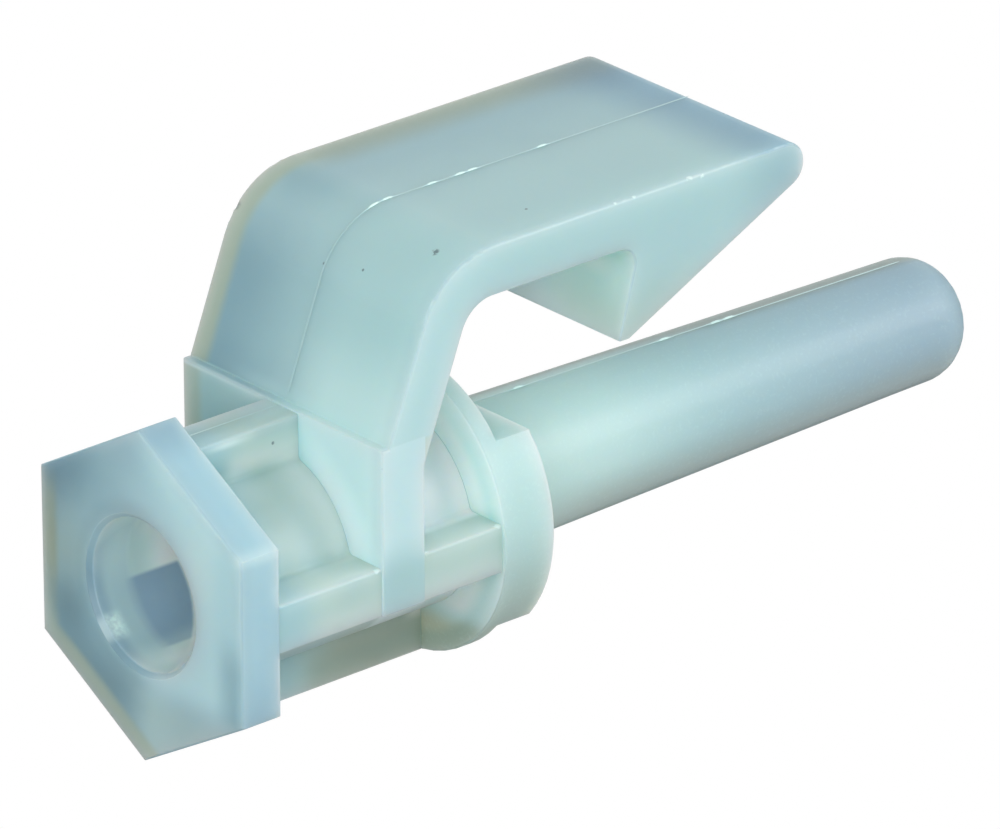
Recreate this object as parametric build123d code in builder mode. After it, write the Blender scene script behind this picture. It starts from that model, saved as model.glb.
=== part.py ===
"""Snap-in support for a printed circuit board, moulded in one piece of natural nylon.

The support stands on its hexagonal foot, with +Z along the locating pin. A screw comes up
through the foot, the board slides down the pin onto the shoulder, and the hook on the +X
side snaps over the board's edge. The origin is the middle of the foot's lower face.
All sizes are in millimetres.
"""
from build123d import *
from math import cos, radians, tan
import os

# Foot
foot_across_flats = 6.0
foot_thickness = 0.95
foot_edge_radius = 0.06

# Screw hole and the tube round it
screw_hole_diameter = 3.1
screw_hole_depth = 6.0
hole_mouth_chamfer = 0.1
tube_diameter = 4.1

# Ribs along the tube
rib_thickness = 1.0
rib_reach = 2.92
back_rib_reach = 2.98
rib_edge_radius = 0.05
rib_root_radius = 0.12

# Cross wall that carries the arm, and the arm itself
wall_height = 3.52
wall_thickness = 1.06
arm_width = 5.94
arm_thickness = 1.04
arm_crease = 2.96
arm_ledge = 0.18
arm_lean_angle = 21.3
arm_offset = 6.41
elbow_inner_radius = 0.8
crotch_radius = 0.3
crease_radius = 0.04
arm_edge_radius = 0.06

# Catch at the end of the arm
catch_depth = 1.9
catch_height = 9.48
catch_undercut_angle = 15.5
catch_blunt_length = 0.28
catch_corner_radius = 0.35
catch_tip_radius = 0.06
ramp_angle = 25.8
nose_radius = 0.47

# Flange and the shoulder that the board rests on
flange_diameter = 6.03
flange_height = 6.55
flange_thickness = 0.42
shoulder_height = 7.8
shoulder_width = 3.9
flange_edge_radius = 0.05

# Locating pin
pin_root_diameter = 3.08
pin_end_diameter = 2.54
pin_top = 20.65
pin_nose_radius = 0.92
pin_foot_chamfer = 0.08

# Places worked out from the sizes above
arm_inside = arm_offset - arm_thickness
elbow_outer_radius = elbow_inner_radius + arm_thickness
lean_rise = tan(radians(arm_lean_angle))
lean_start = wall_height + arm_ledge
lean_shift = arm_thickness / cos(radians(arm_lean_angle))
wall_top = wall_height + wall_thickness
crotch = arm_crease + (wall_top - lean_start - lean_shift) / lean_rise
flange_middle = flange_height + flange_thickness / 2
flange_top = flange_height + flange_thickness
catch_tip = arm_inside - catch_depth
catch_corner_height = catch_height + catch_depth * tan(radians(catch_undercut_angle))
ramp_start = catch_height + catch_blunt_length
nose_corner_height = ramp_start + (arm_offset - catch_tip) / tan(radians(ramp_angle))


def lean_height(distance):
    """Height of the arm's outer leaning face at a distance from the pin's axis."""
    return lean_start + (distance - arm_crease) * lean_rise


# Corners of the cross wall, arm and catch, seen along Y, each with its own radius
arm_corners = [
    ((-rib_thickness / 2, wall_height), 0),
    ((arm_crease, wall_height), crease_radius),
    ((arm_crease, lean_start), 0),
    ((arm_offset, lean_height(arm_offset)), elbow_outer_radius),
    ((arm_offset, nose_corner_height), nose_radius),
    ((catch_tip, ramp_start), catch_tip_radius),
    ((catch_tip, catch_height), catch_tip_radius),
    ((arm_inside, catch_corner_height), catch_corner_radius),
    ((arm_inside, lean_height(arm_inside) + lean_shift), elbow_inner_radius),
    ((crotch, wall_top), crotch_radius),
    ((-rib_thickness / 2, wall_top), 0),
]
corner_points, corner_radii = zip(*arm_corners)

with BuildPart() as snap_support:
    # Cross wall, arm and catch in one band of constant width, its two outlines rounded
    with BuildSketch(Plane.XZ) as arm_outline:
        with BuildLine() as arm_edge:
            FilletPolyline(*corner_points, radius=corner_radii, close=True)
        make_face()
    extrude(amount=arm_width / 2, both=True)
    arm_sides = snap_support.faces().filter_by(Plane.XZ)
    fillet(arm_sides.edges(), arm_edge_radius)

    # Hexagonal foot, its corners on the X axis and its flats facing Y
    with BuildSketch() as foot_outline:
        RegularPolygon(foot_across_flats / 2, 6, major_radius=False)
    extrude(amount=foot_thickness)
    fillet(snap_support.edges(Select.LAST).filter_by(Plane.XY), foot_edge_radius)

    # Tube with four ribs, from the foot up to the flange
    with BuildSketch(Plane.XY.offset(foot_thickness)) as body_section:
        Circle(tube_diameter / 2)
        Rectangle(rib_thickness, 2 * rib_reach)
        with Locations(((rib_reach - back_rib_reach) / 2, 0)):
            Rectangle(rib_reach + back_rib_reach, rib_thickness)
        root_zone = tube_diameter / 2 + rib_edge_radius
        corners = body_section.vertices()
        rib_roots = corners.filter_by(lambda point: Vector(point).length < root_zone)
        fillet(rib_roots, rib_root_radius)
        corners = body_section.vertices()
        rib_edges = corners.filter_by(lambda point: Vector(point).length > rib_reach)
        fillet(rib_edges, rib_edge_radius)
    extrude(amount=flange_height - foot_thickness)

    # Shoulder with two flats across X, its foot buried in the flange
    with BuildSketch(Plane.XY.offset(flange_middle)) as shoulder_outline:
        Circle(flange_diameter / 2)
        Rectangle(shoulder_width, flange_diameter, mode=Mode.INTERSECT)
    extrude(amount=shoulder_height - flange_middle)
    shoulder_face = snap_support.faces(Select.LAST).sort_by(Axis.Z).last
    fillet(shoulder_face.edges(), flange_edge_radius)

    # Round flange with a softened rim
    with BuildSketch(Plane.XZ) as flange_profile:
        with BuildLine() as flange_edge:
            FilletPolyline(
                (0, flange_height),
                (flange_diameter / 2, flange_height),
                (flange_diameter / 2, flange_top),
                (0, flange_top),
                radius=[0, flange_edge_radius, flange_edge_radius, 0],
                close=True,
            )
        make_face()
    revolve(axis=Axis.Z)

    # Tapered pin with a rounded end
    with BuildSketch(Plane.XZ) as pin_profile:
        with BuildLine() as pin_edge:
            FilletPolyline(
                (0, shoulder_height),
                (pin_root_diameter / 2, shoulder_height),
                (pin_end_diameter / 2, pin_top),
                (0, pin_top),
                radius=[0, 0, pin_nose_radius, 0],
                close=True,
            )
        make_face()
    revolve(axis=Axis.Z)
    pin_feet = snap_support.edges().filter_by_position(Axis.Z, shoulder_height, shoulder_height)
    pin_foot = pin_feet.filter_by(GeomType.CIRCLE).sort_by(SortBy.RADIUS).first
    chamfer(pin_foot, pin_foot_chamfer)

    # Screw hole from below, with a small lead-in at its mouth
    with BuildSketch(Plane.XZ) as hole_profile:
        with BuildLine() as hole_edge:
            Polyline(
                (0, 0),
                (screw_hole_diameter / 2 + hole_mouth_chamfer, 0),
                (screw_hole_diameter / 2, hole_mouth_chamfer),
                (screw_hole_diameter / 2, screw_hole_depth),
                (0, screw_hole_depth),
                close=True,
            )
        make_face()
    revolve(axis=Axis.Z, mode=Mode.SUBTRACT)

snap_support.part.label = "snap_support"

os.makedirs("parts", exist_ok=True)
export_step(snap_support.part, "parts/snap_support.step")
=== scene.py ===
"""Dresses the moulded nylon support for a circuit board and sets up its studio."""
from math import cos, pi, radians, sin, tan
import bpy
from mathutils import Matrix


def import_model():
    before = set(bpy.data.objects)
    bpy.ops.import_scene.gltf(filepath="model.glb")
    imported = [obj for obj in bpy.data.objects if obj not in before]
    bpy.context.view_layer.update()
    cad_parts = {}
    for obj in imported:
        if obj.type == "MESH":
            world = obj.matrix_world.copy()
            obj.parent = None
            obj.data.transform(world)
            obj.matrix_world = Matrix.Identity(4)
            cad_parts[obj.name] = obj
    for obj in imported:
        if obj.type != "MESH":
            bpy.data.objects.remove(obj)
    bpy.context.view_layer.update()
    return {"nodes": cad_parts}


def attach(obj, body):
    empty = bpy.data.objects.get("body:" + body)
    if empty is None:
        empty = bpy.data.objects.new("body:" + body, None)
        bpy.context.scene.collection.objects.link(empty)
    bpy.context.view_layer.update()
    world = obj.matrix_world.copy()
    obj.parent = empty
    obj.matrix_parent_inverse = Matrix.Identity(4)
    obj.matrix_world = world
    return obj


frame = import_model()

from types import SimpleNamespace

import bpy
import numpy as np
from bpy.props import FloatProperty, FloatVectorProperty, PointerProperty
from mathutils import Matrix, Vector

bl_info = {
    "name": "Circuit board support",
    "version": (1, 0, 0),
    "blender": (4, 5, 0),
    "location": "View3D > Sidebar > Board support",
    "description": "Dresses the moulded nylon support for a circuit board and sets up its studio",
    "category": "Object",
}

MM = 0.001
BODY = "root"

# The part's own sizes in millimetres, for what is laid on it
FOOT_HALF_WIDTH = 3.0
FOOT_TOP = 0.95
RIB_TOP = 2.92
WALL_BOTTOM = 3.52
CREASE_X = 2.96
LEAN_START = 3.7
LEAN_ANGLE = radians(21.3)
ARM_OUTSIDE = 6.41
ELBOW_RADIUS = 1.84
NOSE_START = 14.0
SHOULDER_TOP = 7.8
PIN_ROOT_RADIUS = 1.54
PIN_END_RADIUS = 1.27
PIN_TOP = 20.65

# Nylon: how strongly it bends light, how far red, green and blue travel in it as shares, and
# how much its roughness varies with the grain and rises on the satin pin and flange
NYLON_IOR = 1.53
NYLON_REACH = (1.0, 0.85, 0.7)
GRAIN_SPREAD = 0.16
SATIN_LIFT = 0.06

# Parting line, in millimetres: what its ends leave free, and where its bright dashes stand up
CREASE_GAP = 0.1
SHOULDER_GAP = 0.15
NOSE_GAP = 1.0
PIN_END_LIFT = 0.02
ARM_DASHES = (5.93, 6.28, 7.40, 8.10, 8.42, 10.18)
PIN_DASHES = (9.55, 13.35, 14.70, 15.05)
DASH_REACH = 0.15

# Parting line: its height between the dashes as a share of theirs, its shine, and its points
LOW_SHARE = 0.14
SEAM_ROUGHNESS = 0.3
BEAD_SIDES = 10
LEAN_POINTS = 60
ELBOW_POINTS = 24
ARM_POINTS = 120
RIB_POINTS = 40
PIN_POINTS = 160

# Small marks in the skin: where they are and how big, in millimetres. The specks are dark; the
# dents are painted pale, as glints of light on them
SPECKS = (
    ((6.242, 2.179, 5.535), 0.11),
    ((5.511, -0.122, 4.695), 0.05),
    ((5.663, 0.906, 4.822), 0.04),
    ((6.41, 2.05, 7.928), 0.05),
    ((2.6, 2.97, 3.5), 0.05),
    ((2.503, 0.5, 2.888), 0.05),
    ((5.75, -2.95, 4.9), 0.14),
)
GLINTING_DENTS = (
    ((6.40, 2.97, 11.29), 0.1),
    ((6.35, 2.97, 11.6), 0.07),
    ((6.41, 2.95, 9.88), 0.06),
    ((6.41, 2.95, 9.4), 0.05),
    ((3.02, 2.95, 3.5), 0.09),
    ((0.5, 2.9, 3.42), 0.09),
    ((0.5, 2.9, 4.66), 0.08),
    ((0.5, 2.85, 6.45), 0.1),
)

# Softboxes: direction from the part, width in millimetres, and power in watts apart from the
# main one, whose power is a property
LAMP_COLOUR = (1.0, 0.975, 0.97)
LAMP_DISTANCE = 150.0
LAMP_TARGET = (1.5, 0.0, 10.0)
MAIN_SOFTBOX = ((0.466, 0.654, 0.596), 55.0)
OTHER_SOFTBOXES = {
    "front_softbox": ((0.30, 0.62, -0.72), 110.0, 0.115),
    "left_softbox": ((0.15, -0.85, 0.5), 110.0, 0.045),
    "rear_softbox": ((-0.75, 0.1, 0.6), 110.0, 0.045),
}

# Light from all round: its colour, its share on the dark side, and what reflections go without
WHITE = (1.0, 1.0, 1.0, 1.0)
DARK_SHARE = 0.3
GLOSS_CUT = 0.6

# Floor: its rings and sides, and how far out it stays whole, in millimetres
FLOOR_RINGS = 12
FLOOR_SIDES = 96
FLOOR_WHOLE = 14.0

# Camera: its sensor in millimetres, the nearest and farthest that it sees in metres, and where
# it stands and how it is turned, fitted to the part's edges in the photograph
CAMERA_SENSOR = 36.0
CAMERA_CLIP = (0.01, 10.0)
CAMERA_PLACE = (0.09306825, 0.15569037, -0.12535705)
CAMERA_RIGHT = (-0.00399606, 0.65473987, 0.75584372)
CAMERA_UP = (0.91289775, -0.30612819, 0.27000598)
CAMERA_BACK = (0.40816875, 0.69108699, -0.59648725)


class Shade:
    """A shader socket. Arithmetic on it adds Math nodes to its recipe."""

    def __init__(self, recipe, socket):
        self.recipe = recipe
        self.socket = socket

    def maths(self, operation, *values):
        node = self.recipe.add("ShaderNodeMath", {"operation": operation}, dict(enumerate(values)))
        return node.out(0)

    def __add__(self, other):
        return self.maths("ADD", self, other)

    def __radd__(self, other):
        return self.maths("ADD", other, self)

    def __sub__(self, other):
        return self.maths("SUBTRACT", self, other)

    def __rsub__(self, other):
        return self.maths("SUBTRACT", other, self)

    def __mul__(self, other):
        return self.maths("MULTIPLY", self, other)

    def __rmul__(self, other):
        return self.maths("MULTIPLY", other, self)

    def __truediv__(self, other):
        return self.maths("DIVIDE", self, other)

    def __abs__(self):
        return self.maths("ABSOLUTE", self)

    def least(self, other):
        return self.maths("MINIMUM", self, other)

    def most(self, other):
        return self.maths("MAXIMUM", self, other)

    def root(self):
        return self.maths("SQRT", self)

    def rise(self, start, end, top=1.0):
        """Nothing before start, top after end and a smooth step between them."""
        settings = {"interpolation_type": "SMOOTHSTEP"}
        sockets = {"Value": self, "From Min": start, "From Max": end, "To Max": top}
        return self.recipe.add("ShaderNodeMapRange", settings, sockets).out("Result")

    def near(self, place, reach, top=1.0):
        """Top at a place, fading smoothly to nothing at a distance of reach."""
        return abs(self - place).rise(reach, 0.0, top)


class Node:
    """A shader node, whose outputs are read as shades."""

    def __init__(self, recipe, node):
        self.recipe = recipe
        self.node = node

    def out(self, name):
        return Shade(self.recipe, self.node.outputs[name])


class Recipe:
    """A material or world, written down node by node."""

    def __init__(self, owner):
        owner.use_nodes = True
        self.tree = owner.node_tree
        self.tree.nodes.clear()

    def add(self, kind, settings=None, sockets=None):
        """Adds one node: its kind, its settings, then the values or links of its sockets."""
        node = self.tree.nodes.new(kind)
        for name, value in (settings or {}).items():
            setattr(node, name, value)
        for name, value in (sockets or {}).items():
            if isinstance(value, Shade):
                self.tree.links.new(value.socket, node.inputs[name])
            else:
                node.inputs[name].default_value = value
        return Node(self, node)

    def tint(self, mask, under, over):
        """Lays one colour over another where the mask says."""
        under, over = (c if isinstance(c, Shade) else (*c, 1) for c in (under, over))
        sockets = {"Factor": mask, 6: under, 7: over}
        return self.add("ShaderNodeMix", {"data_type": "RGBA"}, sockets).out(2)

    def coats(self, colour, *layers):
        """Lays colours over the first one in turn, each where its own mask says."""
        for mask, over in layers:
            colour = self.tint(mask, colour, over)
        return colour

    def noise(self, place, scale):
        """Soft noise between nought and one, with about scale lumps to a millimetre."""
        return self.add("ShaderNodeTexNoise", None, {"Vector": place, "Scale": scale / MM}).out(0)

    def spots(self, place, marks, top):
        """Top at each mark's centre, fading to nothing at its size, both in millimetres."""
        together = None
        for centre, size in marks:
            sockets = {0: place, 1: [c * MM for c in centre]}
            away = self.add("ShaderNodeVectorMath", {"operation": "DISTANCE"}, sockets).out("Value")
            spot = away.rise(size * MM, size * 0.4 * MM, top)
            together = spot if together is None else together.most(spot)
        return together


def millimetres(recipe):
    """The place on the part, as one vector in metres and three shades in millimetres."""
    place = recipe.add("ShaderNodeTexCoord").out("Object")
    split = recipe.add("ShaderNodeSeparateXYZ", None, {"Vector": place})
    return place, split.out("X") / MM, split.out("Y") / MM, split.out("Z") / MM


def facing(recipe):
    """The direction a face looks, as three shades along the part's own axes."""
    normal = recipe.add("ShaderNodeTexCoord").out("Normal")
    split = recipe.add("ShaderNodeSeparateXYZ", None, {"Vector": normal})
    return split.out("X"), split.out("Y"), split.out("Z")


def moulding(recipe):
    """Where a point of the moulding lies, which way it looks and which regions it is in.

    A region is a shade that is one inside it and nothing outside, with a soft edge. Here and in
    the functions below, what rise and near are given are places on the part in millimetres, or
    shares of a direction, and then how strong the tint becomes.
    """
    place, x, y, z = millimetres(recipe)
    look_x, look_y, look_z = facing(recipe)
    squared = x * x + y * y
    down = look_z.rise(-0.5, -0.9)
    arm = x.rise(2.85, 2.97) * z.rise(3.3, 3.5)
    wall = z.rise(3.505, 3.52) * z.rise(4.6, 4.58) * x.rise(-0.55, -0.45) * x.rise(3.0, 2.96)
    return SimpleNamespace(
        place=place, x=x, y=y, z=z, look_x=look_x, look_y=look_y, look_z=look_z,
        squared=squared, down=down, arm=arm, wall=wall,
        outward=look_x.rise(0.1, 0.35),
        sideways=abs(look_y).rise(0.5, 0.9),
        face=(arm * look_x.rise(0.1, 0.35)).most(wall * down),
        lean=z.rise(7.2, 5.4),
        drift=y + (recipe.noise(place, 0.45) - 0.5) * 1.2,
        flecks=recipe.noise(place, 9.0),
        foot=z.rise(1.0, 0.96),
        sole=z.rise(0.1, 0.02) * down,
        waist=z.rise(0.96, 1.0) * z.rise(6.55, 6.53) * x.rise(3.0, 2.9),
        flange=z.rise(6.53, 6.55) * z.rise(7.9, 7.8) * x.rise(3.2, 3.1),
        pin=z.rise(7.75, 7.85) * x.rise(2.3, 2.0),
        bore=squared.rise(2.48, 2.42) * z.rise(0.05, 0.12) * z.rise(6.1, 6.0),
        # The band across the hole where a lamp's reflection and light are painted
        beam=abs(x * 0.743 - y * 0.669 + 0.06).rise(0.36, 0.1),
    )


def arm_colour(recipe, tones, at):
    """Arm and cross wall: blue shade painted towards -Y and at the far end, warm backlight painted
    along the -Y edge.
    """
    x, y, z, arm, wall, face = at.x, at.y, at.z, at.arm, at.wall, at.face
    down, lean, sideways = at.down, at.lean, at.sideways
    low = x.rise(5.0, 3.2) * y.rise(-1.4, 1.0)
    # Where shade is painted dark blue: towards -Y, stronger low on the arm, weaker on the cross
    # wall
    depth = at.drift.rise(1.1, -2.6) * (z.rise(7.0, 4.0, 0.35) + 0.57) * (1 - wall * 0.8)
    # The catch face, painted lighter to lift its shade
    lock = down * z.rise(8.5, 9.0)
    # A spot in the catch where light is painted in
    nook = x.near(4.75, 0.35) * y.near(1.8, 0.9, 0.4)
    # Painted shade along the +Y edges of the arm and the cross wall
    edge_shade_strip = y.rise(2.5, 2.95) * arm.most(wall) * (1 - sideways)
    # Warm light painted where it comes through the -Y edges from behind
    skin = recipe.tint(lean, tones.warm_top, tones.warm)
    backlit_band = y.rise(-2.3, -2.6, 0.85) * lean + y.rise(-1.7, -2.7, 0.9) * (1 - lean)
    # Painted highlight along the ledge under the arm
    ledge_highlight = x.near(3.02, 0.3) * z.near(3.65, 0.35) * y.rise(-2.4, -0.6) * y.rise(2.9, 1.6, 0.4)
    # Over the milk, painted light and shade: lighter and darker copies face by face, light under
    # the wall and in the catch, blue and navy shade towards -Y and the far end, warm and olive
    # backlight on edges, a ledge highlight
    return recipe.coats(
        recipe.tint(z.rise(1.0, 5.0), tones.foot_milk, tones.milk),
        (arm * sideways * (lean * 0.6 + 0.4), tones.side_milk),
        (wall * sideways * x.rise(0.2, 1.2), tones.wall_side),
        (face * lean, tones.lean_milk),
        (face * arm * low * lean, tones.low_milk),
        (wall * down * y.rise(-2.6, 1.0), tones.white_light),
        (wall * down * at.squared.rise(9.0, 4.5) * y.rise(0.3, 1.4), tones.painted_glow),
        (face * depth, tones.painted_shade),
        (face * z.near(5.15, 0.8) * y.rise(1.5, -1.6, 0.3), tones.white_light),
        (at.outward * z.rise(12.0, 13.7, 0.9), tones.tip_blue),
        (sideways * z.rise(12.0, 14.2, 0.45), tones.blue),
        (sideways * x.rise(5.2, 3.5) * z.rise(9.0, 9.6, 0.4), tones.olive),
        (lock, tones.lock),
        (lock * y.rise(1.0, 2.2), tones.lock_dark),
        (lock * x.rise(4.6, 3.8) * y.rise(0.4, 1.6, 0.3), tones.olive),
        (lock * nook, tones.paper),
        (edge_shade_strip * (lean * 0.12 + 0.16), tones.painted_shade),
        (face * backlit_band * (1 - wall * 0.3), skin),
        (arm * at.look_y.rise(-0.5, -0.9, 0.35), tones.warm),
        (ledge_highlight, tones.white_light),
        (z.rise(10.8, 13.8) * y.rise(-0.8, -2.6, 0.55), tones.navy),
    )


def foot_side_colour(recipe, tones, at):
    """Six sides of the foot: shade painted blue at the corners along X and deeper at both edges."""
    x, z = at.x, at.z
    return recipe.coats(
        tones.foot_side,
        (z.rise(0.4, 0.05, 0.25), tones.painted_shade),
        (z.rise(0.65, 0.9, 0.15), tones.painted_shade),
        (x.rise(0.0, -1.8, 0.4), tones.blue),
        (x.rise(2.9, 3.4, 0.5), tones.blue),
    )


def sole_colour(recipe, tones, at):
    """Sole of the foot: blue shade painted towards -Y, warm backlight painted along the two edges
    there, pale light painted in the middle.
    """
    x, y = at.x, at.y
    edge = (x * 0.866 + y * 0.5 + FOOT_HALF_WIDTH).least(y + FOOT_HALF_WIDTH)
    # Warm light painted where it comes through the edges from behind
    backlight_tint = recipe.tint(x.rise(-1.4, -0.6), tones.warm, tones.warm_top)
    backlit_band = edge.rise(0.6, 0.35, 0.75) + edge.rise(1.7, 0.4) * x.near(0.2, 1.1, 0.25)
    # Painted shade along the sole's far edges
    far_edge = (FOOT_HALF_WIDTH - y).least(FOOT_HALF_WIDTH - x * 0.866 - y * 0.5)
    shore = x.rise(0.3, -0.8) * x.rise(-2.2, -1.6, 0.55) + 0.2
    # Over the sole, painted light and shade: blue, slate and navy shade towards -Y and round the
    # hole, warm backlight on the edges, pale light in the middle, darker shade along the edges
    return recipe.coats(
        tones.sole_milk,
        (at.drift.rise(1.1, -2.2) * (1 - x.near(0.6, 2.0, 0.35)), tones.painted_shade),
        (at.drift.rise(0.6, -1.0) * x.rise(-1.0, -2.2, 0.8), tones.slate),
        (x.rise(-1.3, -2.1) * y.rise(-0.4, 1.4, 0.4), tones.blue),
        ((y * 1.7 - x).rise(-4.2, -6.6, 0.7), tones.navy),
        (backlit_band * x.rise(2.0, 1.0), backlight_tint),
        (edge.rise(0.3, 0.0, 0.3), tones.painted_shade),
        (x.near(-1.0, 0.9) * y.near(-2.25, 0.9, 0.9), tones.slate),
        (x.near(1.1, 1.4) * y.near(1.7, 1.0, 0.7), tones.white_light),
        (y.rise(2.0, 2.8) * shore, tones.painted_shade),
        (far_edge.rise(0.4, 0.0, 0.3), tones.painted_shade),
        (at.squared.rise(4.4, 2.9) * y.rise(0.8, -0.4, 0.3), tones.slate),
        (x.rise(2.2, 3.3) * y.rise(0.8, -0.8, 0.5), tones.blue),
        (x.near(0.4, 1.7) * y.near(-2.1, 1.1, 0.2), tones.warm),
        (x.rise(-1.5, -2.4) * y.rise(-0.6, 0.4, 0.3), tones.warm),
    )


def waist_colour(recipe, tones, at):
    """Tube and ribs: pale light painted where the tube is enclosed, olive backlight painted along
    the back.
    """
    x, y, z = at.x, at.y, at.z
    tube = 1 - at.squared.rise(4.6, 5.6)
    back = x.rise(-1.3, -1.8, 0.6) + x.rise(-2.0, -2.6, 0.3)
    # Under the front rib, where light is painted in
    under = x.near(-1.4, 0.6) * y.rise(0.5, 1.0) * z.rise(4.4, 4.7, 0.8)
    side = at.look_y.rise(0.5, 0.9) * y.rise(0.9, 0.7)
    # Ledges on the rib, where light is painted in
    ledges = at.look_x.rise(0.5, 0.9) * x.near(0.5, 0.15) * y.rise(1.9, 2.2, 0.15)
    front = y.rise(2.7, 2.9) * z.near(2.8, 0.8) * x.rise(-0.3, 0.3, 0.2)
    # Over the waist, painted light and shade: light where the tube is enclosed and near the cross
    # wall, olive backlight and shade along the back, blue shade near the foot, dark shade on the
    # front rib
    return recipe.coats(
        tones.waist,
        (tube * z.rise(2.6, 3.5, 0.8), tones.by_wall),
        (tube * z.rise(4.3, 4.5), tones.painted_glow),
        (tube * y.rise(1.1, 1.7) * z.near(2.55, 0.55, 0.35), tones.white_light),
        (y.rise(2.7, 2.9) * x.rise(0.2, -0.35, 0.3), tones.by_wall),
        (x.rise(-0.5, -0.8), tones.shade),
        (back * z.rise(3.5, 4.6), tones.olive),
        (x.rise(-2.1, -2.6) * z.rise(3.3, 4.1, 0.6), tones.flange_shade),
        (tube * under, tones.painted_glow),
        (z.rise(2.3, 1.3, 0.8), tones.by_foot),
        (tube * x.rise(1.6, 1.95) * z.near(1.9, 0.7, 0.5), tones.white_light),
        (tube * z.rise(6.0, 6.4, 0.4), tones.paper),
        (side * x.near(2.3, 0.4) * z.rise(1.6, 2.0, 0.3), tones.paper),
        (side * x.rise(2.6, 2.8) * z.rise(2.3, 2.6, 0.25), tones.painted_shade),
        (ledges, tones.paper),
        (side * x.near(2.8, 0.12) * z.near(1.75, 0.7, 0.6), tones.painted_glow),
        (front, tones.painted_shade),
        (x.rise(-0.9, -1.6) * z.rise(3.9, 3.1, 0.6), tones.by_foot),
        (x.rise(-1.9, -2.4) * z.rise(2.3, 1.3, 0.75), tones.blue),
    )


def flange_colour(recipe, tones, at):
    """Flange and shoulder: lit from below near the tube, in shade along the back."""
    x, y, squared = at.x, at.y, at.squared
    inside = squared.rise(7.2, 5.4) * x.rise(0.3, 0.6).most(x.rise(-0.6, -1.1) * x.rise(-2.0, -1.6))
    under = recipe.coats(
        tones.flange,
        (x.rise(0.3, 0.9, 0.5), tones.painted_glow),
        (x.rise(-1.8, -2.3, 0.9), tones.olive),
        (x.near(-1.0, 1.1, 0.5), tones.white_light),
        (inside * y.rise(0.2, 0.8, 0.45), tones.paper),
        (squared.rise(6.0, 7.4) * x.rise(-1.6, -2.2, 0.9), tones.flange_shade),
    )
    rim = recipe.tint(x.rise(0.5, -2.0, 0.8), tones.flange, tones.flange_shade)
    return recipe.tint(at.down, rim, under)


def bore_colour(recipe, tones, at):
    """Screw hole: shade painted where its thin wall between the ribs lets the dark through, with
    light and a lamp's reflection painted inside.
    """
    x, y, z = at.x, at.y, at.z
    window = abs(x).least(abs(y)).rise(0.36, 0.46) * x.rise(0.05, -0.1) * z.rise(0.75, 1.1)
    # Painted light lifting the shade inside the hole
    lift = y.rise(-0.75, 0.05) * (z.rise(0.2, 1.0, 0.45) + 0.5)
    lift = lift.most(x.rise(-0.8, 0.3) * z.rise(1.05, 0.9) * z.rise(0.1, 0.7, 0.3))
    lift = lift.most(x.rise(0.3, 1.2, 0.55)).most(x.rise(0.0, 0.8) * z.rise(0.9, 1.4, 0.5))
    # A lamp's reflection painted on the inner wall near the mouth
    gleam = at.beam * abs(z - 0.27).rise(0.3, 0.1) * x.rise(0.0, -0.2)
    # A band of light painted where the thin lip at the mouth lets light through
    thin = (z + x * 0.755 + y * 1.279).rise(-0.15, -0.05) * x.rise(0.2, -0.2, 0.8)
    return recipe.coats(
        recipe.tint(z.rise(1.1, 1.9), tones.bore, tones.bore_deep),
        (z.rise(1.05, 0.85), tones.mouth),
        (z.rise(0.45, 0.15) * (x.rise(0.3, -0.4, 0.5) + 0.25) * (1 - lift), tones.blue),
        (lift, tones.bore_deep),
        (window * (0.95 - y.rise(-0.8, -0.45, 0.33)), tones.window),
        (thin, tones.bore_deep),
        (gleam * (at.flecks.rise(0.3, 0.7, 0.4) + 0.35), tones.painted_glow),
    )


def pin_colour(recipe, tones, at):
    """Locating pin: light painted at its root, blue shade at its end, and a warm dark edge painted
    against the light.
    """
    x, y, z = at.x, at.y, at.z
    # Dark warm edges painted where the pin stands against the light, above and below
    above = (y + z.rise(11.0, 16.0, -0.3)).rise(-0.1, -0.55) * x.rise(-0.7, 1.2, 0.85)
    below = x.rise(0.2, -0.9) * y.rise(0.0, 0.6) * (z.rise(8.0, 11.0, 0.3) + 0.3)
    return recipe.coats(
        tones.milk,
        (z.rise(14.5, 8.5), tones.pin_root),
        (z.rise(10.0, 20.0), tones.pin_end),
        (above, tones.pin_edge),
        (z.rise(19.9, 20.6, 0.35), tones.slate),
        (below, tones.pin_edge),
    )


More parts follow.
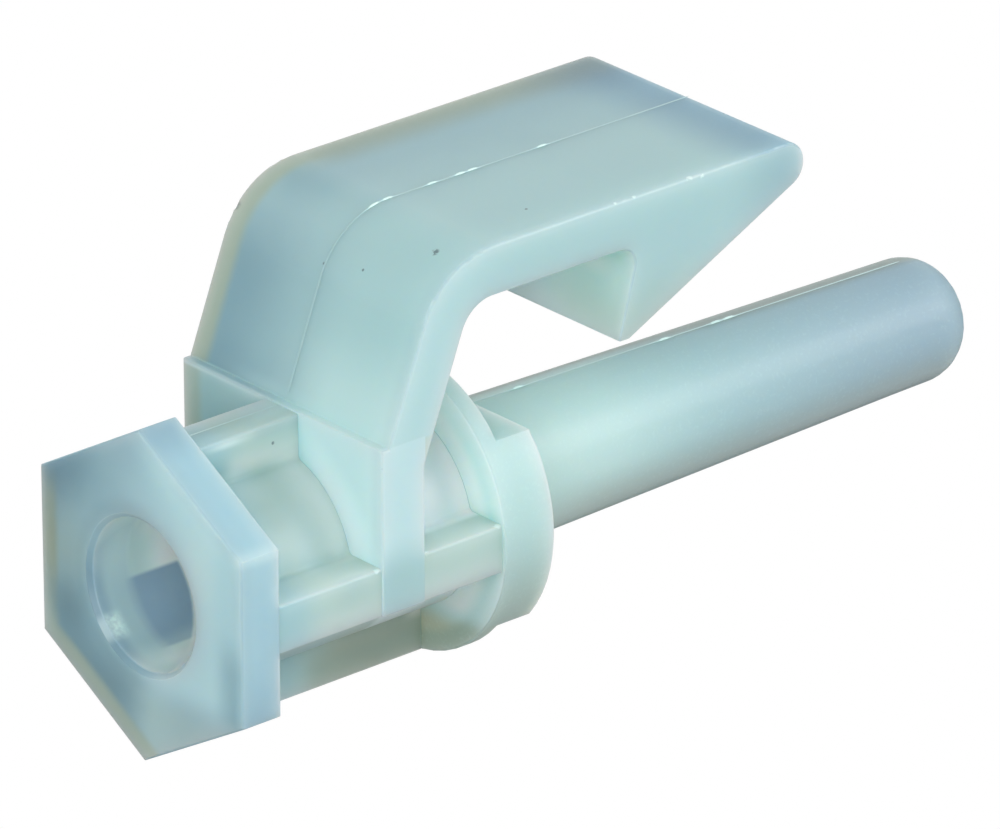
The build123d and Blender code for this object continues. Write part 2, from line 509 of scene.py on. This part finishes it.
def nylon(tones):
    """Milky natural nylon, region by region, with painted light and shade, glints and shade painted
    along its edges, dark specks, and dents painted pale as glints.
    """
    material = bpy.data.materials.new("milky_nylon")
    recipe = Recipe(material)
    at = moulding(recipe)
    x, y, z, look_y, look_z, lean = at.x, at.y, at.z, at.look_y, at.look_z, at.lean
    # Painted light on the top of the rib
    rib_top_highlight = x.rise(2.82, 2.9) * y.rise(0.4, 0.0) * z.rise(1.9, 3.2, 0.7)
    # The ring round the hole's mouth, painted in shade on one side and light on the other
    mouth = at.squared.rise(2.76, 2.72) * z.rise(0.11, 0.1) * (1 - at.bore)
    shaded = y.rise(0.3, -1.0) * x.rise(0.9, -0.2, 0.8) * (1 - at.beam)
    lit = x.rise(0.8, 1.3, 0.2).most(y.rise(0.0, 0.6, 0.4)).most(at.beam * x.rise(0.0, -0.2, 0.35))
    # Rims of the arm, where glints and shade are painted
    rim = abs(look_y).rise(0.2, 0.5) * abs(look_y).rise(0.98, 0.85) * at.arm
    # Edges of the foot, where shade is painted
    lip = abs(look_z).rise(0.2, 0.5) * abs(look_z).rise(0.98, 0.85) * at.foot * (1 - at.bore)
    # Dashes of the glints painted along the arm's edges
    edge_glints = recipe.noise(at.place, 2.2).rise(0.5, 0.75, 0.45) + 0.04
    ragged = at.flecks.rise(0.38, 0.5)
    foot = recipe.tint(
        at.sole, foot_side_colour(recipe, tones, at), sole_colour(recipe, tones, at))
    # Over the regions: light on the rib top and round the hole's mouth, glints and shade on the
    # arm's rims, shade on the foot's edges, under the ledge and at the catch, then dark specks and
    # dents painted pale as glints
    colour = recipe.coats(
        arm_colour(recipe, tones, at),
        (at.foot, foot),
        (at.waist * (1 - at.wall), waist_colour(recipe, tones, at)),
        (at.waist * rib_top_highlight, tones.white_light),
        (at.flange, flange_colour(recipe, tones, at)),
        (mouth * shaded, tones.navy),
        (mouth * lit, tones.bore_deep),
        (at.bore, bore_colour(recipe, tones, at)),
        (at.pin, pin_colour(recipe, tones, at)),
        (rim * edge_glints * (1 - lean * 0.8), tones.white_light),
        (rim * lean * 0.3, tones.painted_shade),
        (lip * (z.rise(0.8, 0.9, 0.5) + 0.35), tones.painted_shade),
        (x.near(2.96, 0.08) * z.near(3.6, 0.16) * y.rise(0.2, -1.2, 0.75), tones.painted_shade),
        (rim * z.rise(12.8, 13.4) * y.rise(-2.5, -2.8, 0.6), tones.navy),
        (rim * look_z.rise(0.0, -0.3) * z.rise(8.5, 9.0) * x.rise(5.8, 5.2, 0.5), tones.painted_shade),
        (x.near(1.73, 0.25) * y.rise(2.7, 2.95) * z.rise(1.0, 0.96, 0.3), tones.white_light),
        (recipe.spots(at.place, SPECKS, 0.8) * ragged, tones.speck),
        (recipe.spots(at.place, GLINTING_DENTS, 0.7) * ragged, tones.painted_glow),
    )
    grain = recipe.noise(at.place, 14.0)
    satin = at.pin.most(at.flange)
    # Pale grain painted on the pin and flange, for the sparkle in their satin highlight
    colour = recipe.tint(grain.rise(0.5, 0.8) * satin * 0.1, colour, tones.painted_glow)
    shader = recipe.add("ShaderNodeBsdfPrincipled", {"subsurface_method": "RANDOM_WALK"}, {
        "Base Color": colour,
        "Roughness": (grain - 0.5) * GRAIN_SPREAD + satin * SATIN_LIFT + tones.roughness,
        "IOR": NYLON_IOR,
        "Subsurface Weight": 1.0,
        "Subsurface Radius": NYLON_REACH,
        "Subsurface Scale": tones.depth,
    })
    recipe.add("ShaderNodeOutputMaterial", None, {"Surface": shader.out(0)})
    return material


def seam_nylon(tones):
    """The shinier nylon of the parting line, in the faces' painted tones, with glints painted on
    its dashes.
    """
    material = bpy.data.materials.new("parting_line_nylon")
    recipe = Recipe(material)
    _, x, _, z = millimetres(recipe)
    faint = recipe.tint(x.rise(2.95, 3.05), tones.low_milk, tones.lean_milk)
    faint = recipe.tint(z.rise(5.2, 6.0) * x.rise(6.0, 6.3), faint, tones.side_milk)
    # Glints painted on the raised dashes of the arm and the pin
    for height in ARM_DASHES:
        dash = abs(z - height).rise(DASH_REACH, DASH_REACH / 2) * x.rise(5.0, 6.0)
        faint = recipe.tint(dash, faint, tones.painted_glow)
    for height in PIN_DASHES:
        dash = abs(z - height).rise(DASH_REACH, DASH_REACH / 2) * x.rise(3.0, 2.0)
        faint = recipe.tint(dash, faint, tones.painted_glow)
    shader = recipe.add("ShaderNodeBsdfPrincipled", None, {
        "Base Color": faint, "Roughness": SEAM_ROUGHNESS, "IOR": NYLON_IOR})
    recipe.add("ShaderNodeOutputMaterial", None, {"Surface": shader.out(0)})
    return material


def put_in_scene(name, mesh, material):
    """Puts a finished piece at the origin, riding on the part's one body."""
    mesh.materials.append(material)
    piece = bpy.data.objects.new(name, mesh)
    bpy.context.scene.collection.objects.link(piece)
    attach(piece, BODY)


def colour_property(name, description, default):
    return FloatVectorProperty(
        name=name, description=description, subtype="COLOR", default=default, min=0.0, max=1.0)


class BoardSupportNylon(bpy.types.PropertyGroup):
    """Colours and finish of the nylon, most of the colours painting light and shade into it."""

    milk: colour_property("Milk", "Thick, milky nylon of the arm", (0.435, 0.66, 0.68))
    # From here to the sole, lighter and darker copies of one nylon, painted face by face for how
    # the light falls
    side_milk: colour_property("Arm side", "Flat sides of the arm", (0.50, 0.73, 0.76))
    wall_side: colour_property("Wall side", "Sides of the cross wall", (0.56, 0.78, 0.82))
    lean_milk: colour_property("Leaning face", "Arm's leaning face", (0.48, 0.72, 0.74))
    low_milk: colour_property(
        "Foot of the arm", "Lower end of the leaning face", (0.60, 0.82, 0.82))
    foot_milk: colour_property("Foot", "Thick foot", (0.40, 0.60, 0.66))
    foot_side: colour_property("Foot sides", "Six sides of the foot", (0.41, 0.63, 0.72))
    sole_milk: colour_property("Sole", "Underside of the foot", (0.55, 0.80, 0.86))
    # Painted shade: dark blue where little light reaches the nylon
    painted_shade: colour_property("Deep blue", "Nylon that is dark behind", (0.27, 0.46, 0.54))
    # Blue, navy and slate: painted shade
    blue: colour_property("Blue", "Arm's far end and the foot's corners", (0.24, 0.39, 0.50))
    navy: colour_property("Navy", "Darkest corners", (0.13, 0.24, 0.33))
    slate: colour_property("Slate", "Left of the sole", (0.22, 0.37, 0.43))
    # Warm light painted where it comes through thin edges from behind
    warm: colour_property("Warm skin", "Edges that light comes through", (0.44, 0.55, 0.46))
    warm_top: colour_property("Warm skin above", "The same along the arm's top", (0.33, 0.43, 0.37))
    olive: colour_property("Olive", "Thin ribs with light behind them", (0.42, 0.49, 0.40))
    shade: colour_property("Shade", "Tube under the front rib", (0.42, 0.58, 0.55))
    # Painted light and highlights on lit places and as glints along the arm's edges, not stressed
    # or worn nylon
    white_light: colour_property("White", "Stressed places and worn edges", (0.64, 0.86, 0.87))
    waist: colour_property("Waist", "Tube and ribs", (0.50, 0.68, 0.65))
    # Painted shade near the foot and painted light under the cross wall
    by_foot: colour_property("Near the foot", "Tube and ribs close to the foot", (0.38, 0.62, 0.68))
    by_wall: colour_property("Near the wall", "Tube just under the cross wall", (0.70, 0.82, 0.78))
    # Painted light in enclosed places, and glints painted on dents, dashes and the satin pin and
    # flange
    painted_glow: colour_property("Glow", "Enclosed places lit through the nylon", (0.76, 1.0, 0.97))
    # Painted light lifting the shade on the catch face, less near its open end
    lock: colour_property("Catch", "Face that holds the board", (0.72, 0.95, 0.90))
    lock_dark: colour_property("Catch tip", "The same near its open end", (0.60, 0.82, 0.79))
    flange: colour_property("Flange", "Flange and shoulder", (0.50, 0.72, 0.72))
    # Painted light filling enclosed corners
    paper: colour_property("Enclosed corner", "Tube just under the flange", (1.0, 1.0, 0.98))
    # Painted shade at the arm's far end
    tip_blue: colour_property("Far end of the arm", "Blue of the arm's far end", (0.24, 0.43, 0.55))
    flange_shade: colour_property(
        "Flange, shaded", "Lower side of the flange's rim", (0.30, 0.42, 0.38))
    bore: colour_property("Bore", "Inside of the screw hole", (0.54, 0.72, 0.73))
    # Painted light deeper in the hole, painted shade at its mouth and behind the thin wall
    bore_deep: colour_property("Bore, deep", "The same deeper in", (0.84, 1.0, 0.97))
    mouth: colour_property("Hole mouth", "Screw hole within the foot", (0.44, 0.62, 0.68))
    window: colour_property("Thin wall", "Thin wall between the ribs", (0.275, 0.43, 0.57))
    # Painted light at the pin's root, painted shade at its end and along its edges
    pin_root: colour_property("Pin root", "Locating pin at its root", (0.58, 0.80, 0.78))
    pin_end: colour_property("Pin end", "Locating pin at its end", (0.345, 0.495, 0.58))
    pin_edge: colour_property(
        "Pin edge", "Locating pin's edge against the light", (0.26, 0.34, 0.31))
    speck: colour_property("Speck", "Dark specks in the skin", (0.12, 0.19, 0.21))
    roughness: FloatProperty(
        name="Roughness", description="How satin the surface is",
        subtype="FACTOR", default=0.42, min=0.0, max=1.0)
    depth: FloatProperty(
        name="Depth", description="How far light travels inside the nylon",
        subtype="DISTANCE", default=1.6 * MM, min=0.0)


class BoardSupportSeam(bpy.types.PropertyGroup):
    """Sizes of the parting line."""

    height: FloatProperty(
        name="Height", description="How far the parting line's dashes stand up",
        subtype="DISTANCE", default=0.03 * MM, min=0.0)
    half_width: FloatProperty(
        name="Half width", description="Half the width of the parting line",
        subtype="DISTANCE", default=0.022 * MM, min=0.0)
    offset: FloatProperty(
        name="Offset", description="Where the parting line lies across the moulding",
        subtype="DISTANCE", default=-0.09 * MM)


class BoardSupportStudio(bpy.types.PropertyGroup):
    """Light, floor and lens of the studio."""

    ambient: FloatProperty(
        name="Ambient light", description="Strength of the soft light from all round",
        default=0.5, min=0.0)
    softbox: FloatProperty(
        name="Softbox", description="Power of the main softbox",
        subtype="POWER", default=0.085, min=0.0)
    floor_radius: FloatProperty(
        name="Floor radius", description="Where the floor has faded to nothing",
        subtype="DISTANCE", default=45.0 * MM, min=0.0)
    floor_gap: FloatProperty(
        name="Floor gap", description="How far under the foot the floor lies",
        subtype="DISTANCE", default=0.02 * MM, min=0.0)
    floor_colour: FloatVectorProperty(
        name="Floor colour", description="Pale paper of the floor",
        subtype="COLOR", default=(0.9, 0.9, 0.9), min=0.0, max=1.0)
    lens: FloatProperty(
        name="Lens", description="Focal length that gives the photograph's framing",
        subtype="DISTANCE_CAMERA", default=418.1095, min=1.0)


class BOARDSUPPORT_OT_body(bpy.types.Operator):
    """Give the moulded support its milky nylon"""

    bl_idname = "board_support.body"
    bl_label = "Dress the moulding"

    def execute(self, context):
        body = frame["nodes"]["snap_support"]
        body.data.materials.clear()
        body.data.materials.append(nylon(context.scene.board_support_nylon))
        return {"FINISHED"}


def bead(path, outward, half_width, height, offset, dashes):
    """A fine raised line: an ellipse carried along a path, half sunk in the surface.

    Its height is low, and rises in a bell curve at each dash. Both dimensions fall to nothing
    at the two ends by the square root of the distance from them.
    """
    along = np.concatenate([[0.0], np.cumsum(np.linalg.norm(np.diff(path, axis=0), axis=1))])
    share = along / along[-1]
    taper = np.sqrt(np.clip(np.minimum(share, 1 - share) * along[-1] / (6 * half_width), 0, 1))
    reach = DASH_REACH * MM
    bells = np.exp(-((path[:, 1, None] - np.array(dashes)[None, :] * MM) / reach) ** 2).sum(axis=1)
    swell = (LOW_SHARE + bells) * taper
    turn = np.linspace(0.0, 2 * pi, BEAD_SIDES, endpoint=False)
    side = np.cos(turn)[None, :] * half_width * taper[:, None]
    rise = np.sin(turn)[None, :] * height * swell[:, None]
    points = np.empty((len(path), BEAD_SIDES, 3))
    points[..., 0] = path[:, 0, None] + outward[:, 0, None] * rise
    points[..., 1] = offset + side
    points[..., 2] = path[:, 1, None] + outward[:, 1, None] * rise
    return points


def bead_mesh(name, beads):
    """One mesh from several beads, each closed by a fan of flat faces at its ends."""
    corners, faces, start = [], [], 0
    for points in beads:
        rows, sides = points.shape[:2]
        corners.append(points.reshape(-1, 3))
        row, side = np.meshgrid(np.arange(rows - 1), np.arange(sides), indexing="ij")
        after = (side + 1) % sides
        quads = np.stack([row * sides + side, (row + 1) * sides + side,
                          (row + 1) * sides + after, row * sides + after], axis=-1)
        faces.extend((quads.reshape(-1, 4) + start).tolist())
        faces.append(list(range(start, start + sides)))
        faces.append(list(range(start + (rows - 1) * sides, start + rows * sides))[::-1])
        start += rows * sides
    mesh = bpy.data.meshes.new(name)
    mesh.from_pydata(np.concatenate(corners).tolist(), [], faces)
    mesh.polygons.foreach_set("use_smooth", np.ones(len(mesh.polygons), dtype=bool))
    mesh.update()
    return mesh


def straight(start, end, count):
    """Points from start to end, and the direction at right angles on the path's right."""
    share = np.linspace(0.0, 1.0, count)[:, None]
    path = np.array(start) * (1 - share) + np.array(end) * share
    run = (np.array(end) - np.array(start)) / np.linalg.norm(np.array(end) - np.array(start))
    return path, np.tile([run[1], -run[0]], (count, 1))


def arm_line():
    """Points up the leaning face, round the elbow and along the arm, and the ways out of it.

    The elbow is a circular arc that touches both straight stretches.
    """
    rise = tan(LEAN_ANGLE)
    lean_end = LEAN_START + (ARM_OUTSIDE - CREASE_X) * rise
    cut = ELBOW_RADIUS * tan((pi / 2 - LEAN_ANGLE) / 2)
    lean_stop = (ARM_OUTSIDE - cut * cos(LEAN_ANGLE), lean_end - cut * sin(LEAN_ANGLE))
    lean = straight((CREASE_X + CREASE_GAP, LEAN_START + CREASE_GAP * rise), lean_stop, LEAN_POINTS)
    angle = np.linspace(LEAN_ANGLE - pi / 2, 0.0, ELBOW_POINTS)[1:-1]
    way = np.stack([np.cos(angle), np.sin(angle)], axis=1)
    bend = (np.array([ARM_OUTSIDE - ELBOW_RADIUS, lean_end + cut]) + ELBOW_RADIUS * way, way)
    flat = straight((ARM_OUTSIDE, lean_end + cut), (ARM_OUTSIDE, NOSE_START), ARM_POINTS)
    return [np.concatenate(parts) for parts in zip(lean, bend, flat)]


class BOARDSUPPORT_OT_seam(bpy.types.Operator):
    """Lay the fine parting line along the arm, the rib and the pin"""

    bl_idname = "board_support.seam"
    bl_label = "Lay the parting line"

    def execute(self, context):
        seam = context.scene.board_support_seam
        tones = context.scene.board_support_nylon
        rib_path = straight((RIB_TOP, FOOT_TOP), (RIB_TOP, WALL_BOTTOM), RIB_POINTS)
        pin_start = (PIN_ROOT_RADIUS, SHOULDER_TOP + SHOULDER_GAP)
        pin_end = (PIN_END_RADIUS + PIN_END_LIFT, PIN_TOP - NOSE_GAP)
        pin_path = straight(pin_start, pin_end, PIN_POINTS)
        runs = [(*arm_line(), ARM_DASHES), (*rib_path, ()), (*pin_path, PIN_DASHES)]
        beads = [bead(path * MM, out, seam.half_width, seam.height, seam.offset, dashes)
                 for path, out, dashes in runs]
        put_in_scene("parting_line", bead_mesh("parting_line", beads), seam_nylon(tones))
        return {"FINISHED"}


class BOARDSUPPORT_OT_stage(bpy.types.Operator):
    """Set up the floor, the soft light and the photograph's camera"""

    bl_idname = "board_support.stage"
    bl_label = "Set up the studio"

    def execute(self, context):
        studio = context.scene.board_support_studio
        world(studio)
        floor(studio)
        softbox("key_softbox", *MAIN_SOFTBOX, studio.softbox)
        for name, lamp in OTHER_SOFTBOXES.items():
            softbox(name, *lamp)
        camera(studio.lens)
        context.scene.view_settings.view_transform = "Standard"
        return {"FINISHED"}


def floor(studio):
    """A round, pale floor just under the foot, as rings of points about the middle.

    Only its upper side is seen, and it melts into the white background with distance. It is
    clear to all other light, so it takes the part's soft shadow without casting one.
    """
    radii = np.linspace(0.0, 1.0, FLOOR_RINGS + 1)[1:] ** 2 * studio.floor_radius
    turn = np.linspace(0.0, 2 * pi, FLOOR_SIDES, endpoint=False)
    rim = np.stack([np.cos(turn), np.sin(turn)], axis=1)
    rings = (radii[:, None, None] * rim[None, :, :]).reshape(-1, 2)
    flat = np.concatenate([np.zeros((1, 2)), rings])
    points = np.column_stack([flat, np.full(len(flat), -studio.floor_gap)])
    side = np.arange(FLOOR_SIDES)
    after = (side + 1) % FLOOR_SIDES
    fan = np.stack([np.zeros(FLOOR_SIDES, dtype=int), side + 1, after + 1], axis=1)
    inner = (np.arange(FLOOR_RINGS - 1) * FLOOR_SIDES + 1)[:, None]
    outer = inner + FLOOR_SIDES
    bands = np.stack([inner + side, outer + side, outer + after, inner + after], axis=-1)
    mesh = bpy.data.meshes.new("floor")
    mesh.from_pydata(points.tolist(), [], fan.tolist() + bands.reshape(-1, 4).tolist())
    mesh.materials.append(floor_finish(studio))
    obj = bpy.data.objects.new("floor", mesh)
    bpy.context.scene.collection.objects.link(obj)


def floor_finish(studio):
    """Pale matt floor that fades to nothing at its rim and from below."""
    material = bpy.data.materials.new("pale_floor")
    recipe = Recipe(material)
    _, x, y, _ = millimetres(recipe)
    away = (x * x + y * y).root()
    fade = away.rise(studio.floor_radius / MM, FLOOR_WHOLE)
    ray = recipe.add("ShaderNodeLightPath").out("Is Camera Ray")
    behind = recipe.add("ShaderNodeNewGeometry").out("Backfacing")
    clear = recipe.add("ShaderNodeBsdfTransparent")
    pale = recipe.add("ShaderNodeBsdfDiffuse", None, {"Color": (*studio.floor_colour, 1.0)})
    seen = fade * ray * (1 - behind)
    mix = recipe.add("ShaderNodeMixShader", None, {0: seen, 1: clear.out(0), 2: pale.out(0)})
    recipe.add("ShaderNodeOutputMaterial", None, {"Surface": mix.out(0)})
    return material


def world(studio):
    """White behind everything, and a softer light on it from all round."""
    backdrop = bpy.data.worlds.new("studio")
    recipe = Recipe(backdrop)
    path = recipe.add("ShaderNodeLightPath")
    ray = path.out("Is Camera Ray")
    glossy = path.out("Is Glossy Ray")
    direction = recipe.add("ShaderNodeTexCoord").out("Generated")
    across = recipe.add("ShaderNodeSeparateXYZ", None, {"Vector": direction}).out("X")
    strength = across.rise(-1.0, 0.2, studio.ambient * (1 - DARK_SHARE))
    strength = (strength + studio.ambient * DARK_SHARE) * (1 - glossy * GLOSS_CUT)
    white_light, ambient = (
        recipe.add("ShaderNodeBackground", None, {"Color": WHITE, "Strength": light})
        for light in (1.0, strength))
    mix = recipe.add("ShaderNodeMixShader", None, {0: ray, 1: ambient.out(0), 2: white_light.out(0)})
    recipe.add("ShaderNodeOutputWorld", None, {"Surface": mix.out(0)})
    bpy.context.scene.world = backdrop


def softbox(name, direction, width, power):
    """A square lamp that looks at the part from a direction."""
    lamp = bpy.data.lights.new(name, "AREA")
    lamp.shape = "SQUARE"
    lamp.size = width * MM
    lamp.energy = power
    lamp.color = LAMP_COLOUR
    obj = bpy.data.objects.new(name, lamp)
    towards = Vector(direction).normalized()
    turn = towards.to_track_quat("Z", "Y").to_matrix().to_4x4()
    place = (Vector(LAMP_TARGET) + towards * LAMP_DISTANCE) * MM
    obj.matrix_world = Matrix.Translation(place) @ turn
    obj.visible_camera = False
    bpy.context.scene.collection.objects.link(obj)


def camera(lens):
    """The photograph's camera."""
    data = bpy.data.cameras.new("photograph")
    data.lens = lens
    data.sensor_width = CAMERA_SENSOR
    data.clip_start, data.clip_end = CAMERA_CLIP
    obj = bpy.data.objects.new("photograph", data)
    rows = zip(CAMERA_RIGHT, CAMERA_UP, CAMERA_BACK, CAMERA_PLACE)
    obj.matrix_world = Matrix([*rows, (0.0, 0.0, 0.0, 1.0)])
    bpy.context.scene.collection.objects.link(obj)
    bpy.context.scene.camera = obj


GROUPS = {
    "board_support_nylon": BoardSupportNylon,
    "board_support_seam": BoardSupportSeam,
    "board_support_studio": BoardSupportStudio,
}
STEPS = (BOARDSUPPORT_OT_body, BOARDSUPPORT_OT_seam, BOARDSUPPORT_OT_stage)


class BOARDSUPPORT_PT_panel(bpy.types.Panel):
    """The steps that build the scene, in order"""

    bl_idname = "BOARDSUPPORT_PT_panel"
    bl_label = "Board support"
    bl_space_type = "VIEW_3D"
    bl_region_type = "UI"
    bl_category = "Board support"

    def draw(self, context):
        for step in STEPS:
            self.layout.operator(step.bl_idname)
        for name, group in GROUPS.items():
            box = self.layout.box()
            for prop in group.__annotations__:
                box.prop(getattr(context.scene, name), prop)


def register():
    for group in GROUPS.values():
        bpy.utils.register_class(group)
    for step in STEPS:
        bpy.utils.register_class(step)
    bpy.utils.register_class(BOARDSUPPORT_PT_panel)
    for name, group in GROUPS.items():
        setattr(bpy.types.Scene, name, PointerProperty(type=group))


def unregister():
    for name in GROUPS:
        delattr(bpy.types.Scene, name)
    bpy.utils.unregister_class(BOARDSUPPORT_PT_panel)
    for step in reversed(STEPS):
        bpy.utils.unregister_class(step)
    for group in reversed(GROUPS.values()):
        bpy.utils.unregister_class(group)


def main():
    register()
    bpy.ops.board_support.body()
    bpy.ops.board_support.seam()
    bpy.ops.board_support.stage()


if __name__ == "__main__":
    main()
